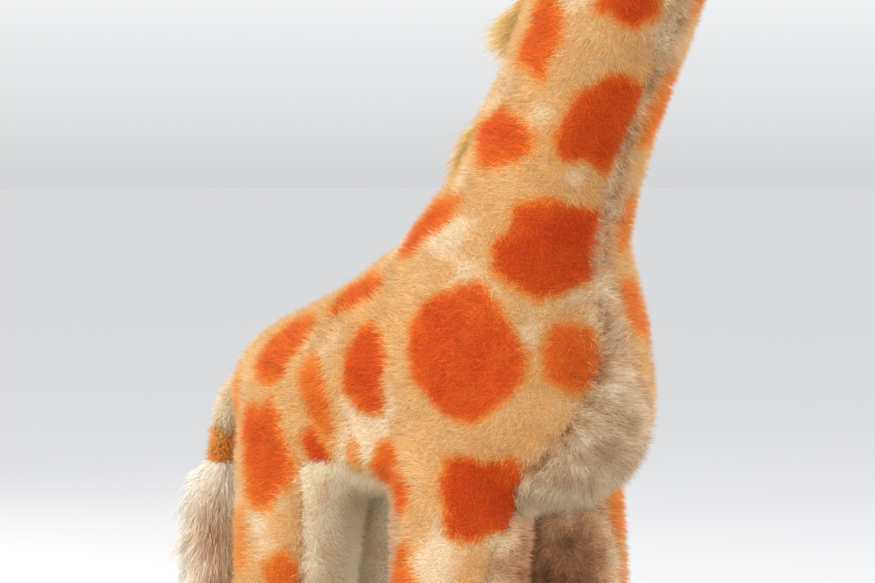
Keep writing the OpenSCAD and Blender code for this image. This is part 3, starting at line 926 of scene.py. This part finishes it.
# ---- mane -----------------------------------------------------------------------------------
# Sideways lean of the mane's locks against height, to the right (-) or to the left (+)
MANE_LOCKS = ([160, 168, 176, 180, 184, 192, 196, 201, 215, 250],
              [-0.8, -0.9, -0.8, -0.1, 0.6, 0.6, -0.3, -0.85, -0.7, -0.3])


def grow_mane():
    low, high = box_mm("mane_strip")
    c = skin.centres
    a, b, d = (skin.points[skin.triangles[:, k]] for k in range(3))
    n = unit(np.cross(b - a, d - a))
    ridge = (np.abs(c[:, 1]) < 2.4) & (n[:, 0] < -0.3) & (c[:, 2] > low[2] + 0.5)
    ridge &= (c[:, 2] < high[2] + 3) & (c[:, 0] < high[0] + 2)
    place, normal = skin.scatter(np.where(ridge, 36.0 * FAST, 0))
    start = np.clip((place[:, 2] - low[2]) / 2, 0, 1)
    height = place * [0, 0, 1]
    tuft_lean = np.interp(place[:, 2], *MANE_LOCKS) + 0.25 * noise(height, 5.0, 32)
    length = (5 + 4.4 * start) * rng.uniform(0.7, 1.12, len(place))
    length *= 1 + 0.2 * noise(height, 4.0, 31) - 0.25 * np.clip(tuft_lean, 0, 1)
    fan = place[:, 1] * 0.14 + tuft_lean
    droop = np.interp(place[:, 2], [171, 180], [-1.3, -0.7]) + 0.25 * noise(height, 6.0, 33)
    lean = np.column_stack([noise(place, 4.0, 35) * 0.15, fan, droop])
    tone = 0.56 + 0.3 * noise(place, 3.0, 34) - 0.12 * tuft_lean
    pile("mane_pile", "body", "mane", place, normal, tone,
         0.4 * noise(place, 1.5, 36), length, lean, 0.17, 0.085, bent=True,
         softness=0.1, replaces=["mane_strip"])


grow_mane()


# ---- small furred parts ---------------------------------------------------------------------
def furred(node, body, voxel, inset, family, tone_of, length, spread, density, lean):
    """A CAD part as a soft skin with pile on it."""
    mesh = remeshed([node], voxel, "skin_" + node)
    points = relax(read_points(mesh), read_edges(mesh), 3, 0.5)
    write_points(mesh, points)
    points = points - read_normals(mesh) * inset
    write_points(mesh, points)
    surface = Surface(mesh)
    set_tint(mesh, family_color(family, tone_of(surface.points)) * 0.8)
    mesh.materials.append(BACKING)
    shade_smooth(mesh)
    piece = add_object("skin_" + node, mesh)
    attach(piece, body)
    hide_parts(node)
    place, normal = surface.scatter(density * FAST)
    long = length * rng.uniform(0.75, 1.15, len(place))
    pile("pile_" + node, body, family, place, normal, tone_of(place),
         0.4 * noise(place, 2.5, 41), long, np.array(lean), spread, FUR_WIDTH)


def ear_tone(p):
    return 0.12 + 0.1 * noise(p, 4.0, 51)


def horn_tone(p):
    top = box_mm("horn_right")[1][2]
    return np.clip((p[:, 2] - (top - 6)) / 4, 0.08, 0.9)


def tail_tone(p):
    low = box_mm("tail_cover")[0][2]
    wander = 1.6 * noise(p, 3.0, 52)
    spot = soft_step(6, 1.5, np.abs(p[:, 2] - low - 4.0 + wander))
    return 0.04 + 0.08 * noise(p, 4.0, 53) + 0.42 * spot


for side, away in (("right", -1), ("left", 1)):
    furred("ear_" + side, "ear_" + side, 0.45, 0.35, "spotted", ear_tone,
           1.7, 0.3, 9.0, (-0.3, 0.5 * away, 0))
    furred("horn_" + side, "body", 0.5, 0.7, "spotted", horn_tone,
           1.5, 0.25, 9.0, (0, 0, 0.3))
furred("tail_cover", "tail", 0.6, 0.7, "spotted", tail_tone, 2.4, 0.3, 14.0,
       (-0.1, 0, -0.5))


# ---- tail tuft ------------------------------------------------------------------------------
def grow_tuft():
    """Combed locks of long pile that start on the end of the tail."""
    low, high = box_mm("tail_tuft")
    axis_x = (low[0] + high[0]) / 2 + 0.4
    count = int(17000 * FAST)
    drop = rng.random(count) ** 1.1
    z = high[2] + 1.2 - drop * (high[2] - low[2]) * 0.78
    turn = rng.uniform(0, 2 * math.pi, count)
    out = np.stack([np.cos(turn), np.sin(turn), np.zeros(count)], axis=1)
    radius = np.interp(drop, [0, 0.08, 0.3, 1], [2.0, 3.4, 5.0, 4.2])
    radius *= np.sqrt(rng.uniform(0.3, 1, count))
    root = np.column_stack([np.full(count, axis_x), np.zeros(count), z]) + out * radius[:, None]
    length = np.interp(drop, [0, 0.15, 1], [5, 8.5, 11]) * rng.uniform(0.7, 1.1, count)
    length = np.minimum(length, z - low[2] + 4)
    curl = swirl(root, 3.2, 60) * 0.5
    fall = np.interp(drop, [0, 0.2], [-0.7, -0.9])
    lean = curl + np.column_stack([np.full(count, -0.1), np.zeros(count), fall])
    toward_leg = np.clip(out[:, 0] - 0.5 * out[:, 1], 0, 1)
    # The locks are darker on the side towards the hind leg: painted shade
    tone = 0.98 + 0.2 * noise(root, 3.0, 61) - 0.65 * toward_leg * soft_step(0.1, 0.35, drop)
    pile("tuft_pile", "tail", "tuft", root, out, tone, 0.4 * noise(root, 2.0, 62),
         length, lean, 0.28, 0.1, bent=True, replaces=["tail_tuft"])


grow_tuft()


# ---- eyes -----------------------------------------------------------------------------------
def glass_material():
    material, shader = principled("glass_eye")
    tree = material.node_tree
    color = tree.nodes.new("ShaderNodeVertexColor")
    color.layer_name = "tint"
    link(tree, color.outputs["Color"], shader.inputs["Base Color"])
    shader.inputs["Roughness"].default_value = 0.08
    shader.inputs["Coat Weight"].default_value = 1.0
    shader.inputs["Coat Roughness"].default_value = 0.02
    return material


GLASS = glass_material()


# The eyes look a little forward of straight out, and are flatter at the back
EYE_TURN = math.radians(12)
EYE_BACK = 0.72
# The amber ring against the angle from the eye's axis in degrees, and where black turns to rim
AMBER_RING = ([24, 27, 46, 52], [0, 1, 1, 0])
PUPIL_SIDE = 35


def make_eye(side):
    """A glass eye: a black pupil in an amber ring, with a dark rim."""
    centre = EYES[side]
    sign = -1 if side == "right" else 1
    axis = unit(np.array([math.sin(EYE_TURN), sign * math.cos(EYE_TURN), 0.0]))
    bm = bmesh.new()
    bmesh.ops.create_uvsphere(bm, u_segments=48, v_segments=32, radius=EYE_R * MM)
    mesh = bpy.data.meshes.new("glass_eye_" + side)
    bm.to_mesh(mesh)
    bm.free()
    points = read_points(mesh)
    spin = np.array(Vector((0, 0, 1)).rotation_difference(Vector(axis)).to_matrix())
    front = points[:, 2] / EYE_R
    points[:, 2] *= np.where(front > 0, 1.0, EYE_BACK)
    points = points @ spin.T + centre
    write_points(mesh, points)
    off = np.degrees(np.arccos(np.clip(front, -1, 1)))
    amber, black, rim = linear(112, 58, 20), linear(8, 6, 5), linear(24, 14, 8)
    ring = np.interp(off, *AMBER_RING)[:, None]
    colors = np.where(off[:, None] < PUPIL_SIDE, black, rim) * (1 - ring) + amber * ring
    set_tint(mesh, colors)
    mesh.materials.append(GLASS)
    shade_smooth(mesh)
    piece = add_object("glass_eye_" + side, mesh)
    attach(piece, "body")
    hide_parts("eye_" + side)


for side in EYES:
    make_eye(side)


# ---- felt and thread ------------------------------------------------------------------------
def soft_copy(node, body, material, voxel, rounds=2, fuzz=0.0):
    """A CAD part with rounded edges and a finer surface."""
    mesh = remeshed_all([node], voxel, "soft_" + node)
    points = relax(read_points(mesh), read_edges(mesh), rounds, 0.5)
    if fuzz:
        write_points(mesh, points)
        points = points + read_normals(mesh) * (noise(points, 0.9, 71) * fuzz)[:, None]
    write_points(mesh, points)
    mesh.materials.append(material)
    shade_smooth(mesh)
    piece = add_object("soft_" + node, mesh)
    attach(piece, body)
    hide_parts(node)


THREAD_SINK = 0.9


def lie_on_skin(node):
    """Sewing thread that lies on the cloth, under the tips of the pile."""
    mesh = remeshed_all([node], 0.2, "sewn_" + node)
    points = relax(read_points(mesh), read_edges(mesh), 2, 0.5)
    for i, point in enumerate(points):
        _, normal, _, _ = skin_tree.find_nearest(point.tolist())
        points[i] = point - np.array(normal) * THREAD_SINK
    write_points(mesh, points)
    mesh.materials.append(THREAD)
    shade_smooth(mesh)
    piece = add_object("sewn_" + node, mesh)
    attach(piece, "body")
    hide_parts(node)


for side in ("right", "left"):
    soft_copy("ear_lining_" + side, "ear_" + side, FELT, 0.35, fuzz=0.08)
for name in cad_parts:
    if name.startswith("sole_") and "card" not in name:
        soft_copy(name, "body", FELT, 0.5, rounds=3, fuzz=0.06)
for name in ("mouth_thread", "nostril_stitches", "closing_stitches"):
    lie_on_skin(name)



def coat(obj, material):
    """Gives a CAD part that is shown as it is one material."""
    obj.data.materials.clear()
    obj.data.materials.append(material)


for name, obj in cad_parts.items():
    if name.startswith("sole_card"):
        coat(obj, CARD)
    elif name == "tail_seam":
        coat(obj, THREAD)
    elif name.endswith("wire") or "eye_wire" in name or name == "tail_core":
        coat(obj, STEEL)


# ---- camera, light and floor ----------------------------------------------------------------
def look(obj, target):
    aim = Vector(target) - obj.location
    obj.rotation_euler = aim.to_track_quat("-Z", "Y").to_euler()


# Angles from the front right and from level; distance and target in mm, lens in mm of a 36 mm film
CAMERA_AZIMUTH = math.radians(45)
CAMERA_ELEVATION = math.radians(2.0)
CAMERA_DISTANCE = 700
CAMERA_TARGET = np.array([-22.1, 1.4, 143.0])
LENS = 138.0


def place_camera():
    data = bpy.data.cameras.new("camera")
    data.lens = LENS
    data.sensor_width = 36
    data.clip_start = 0.01
    camera = bpy.data.objects.new("camera", data)
    bpy.context.scene.collection.objects.link(camera)
    away = np.array([math.sin(CAMERA_AZIMUTH) * math.cos(CAMERA_ELEVATION),
                     -math.cos(CAMERA_AZIMUTH) * math.cos(CAMERA_ELEVATION),
                     math.sin(CAMERA_ELEVATION)])
    camera.location = (CAMERA_TARGET + away * CAMERA_DISTANCE) * MM
    look(camera, CAMERA_TARGET * MM)
    bpy.context.scene.camera = camera


# Where the lights aim, in metres
LIGHT_TARGET = (-0.01, 0, 0.14)


def area_light(name, azimuth, elevation, distance, size, power, color=(1, 1, 1)):
    """A round light; angles are in degrees, and distance and size in metres."""
    data = bpy.data.lights.new(name, "AREA")
    data.shape = "DISK"
    data.size = size
    data.energy = power
    data.color = color
    lamp = bpy.data.objects.new(name, data)
    bpy.context.scene.collection.objects.link(lamp)
    a, e = math.radians(azimuth), math.radians(elevation)
    lamp.location = (distance * math.sin(a) * math.cos(e), -distance * math.cos(a) * math.cos(e),
                     LIGHT_TARGET[2] + distance * math.sin(e))
    look(lamp, LIGHT_TARGET)


def plain_material(name, color, roughness):
    material, shader = principled(name)
    shader.inputs["Base Color"].default_value = (*color, 1)
    shader.inputs["Roughness"].default_value = roughness
    return material


FLOOR_HALF = 30


def make_stage():
    """A wide floor under a pale sky, and four lights."""
    bm = bmesh.new()
    bmesh.ops.create_grid(bm, x_segments=2, y_segments=2, size=FLOOR_HALF)
    mesh = bpy.data.meshes.new("floor")
    bm.to_mesh(mesh)
    bm.free()
    mesh.materials.append(plain_material("floor", linear(220, 220, 221), 0.9))
    add_object("floor", mesh)
    world = bpy.data.worlds.new("world")
    world.use_nodes = True
    tree = world.node_tree
    place = tree.nodes.new("ShaderNodeTexCoord")
    height = tree.nodes.new("ShaderNodeSeparateXYZ")
    link(tree, place.outputs["Generated"], height.inputs["Vector"])
    ramp = tree.nodes.new("ShaderNodeValToRGB")
    ramp.color_ramp.elements[0].color = (0.68, 0.69, 0.70, 1)
    ramp.color_ramp.elements[1].position = 0.07
    ramp.color_ramp.elements[1].color = (0.96, 0.97, 0.98, 1)
    link(tree, height.outputs["Z"], ramp.inputs["Fac"])
    link(tree, ramp.outputs["Color"], tree.nodes["Background"].inputs["Color"])
    tree.nodes["Background"].inputs["Strength"].default_value = 0.98
    bpy.context.scene.world = world
    area_light("window", -8, 24, 1.2, 0.7, 8.2, (1.0, 0.98, 0.95))
    area_light("front", 42, 3, 1.3, 0.6, 5.0, (1.0, 0.96, 0.9))
    area_light("rear", -95, 18, 1.0, 0.5, 2.6, (1.0, 0.98, 0.95))
    area_light("far_side", 150, 10, 1.0, 0.5, 5)


place_camera()
make_stage()
bpy.context.scene.view_settings.view_transform = "Standard"
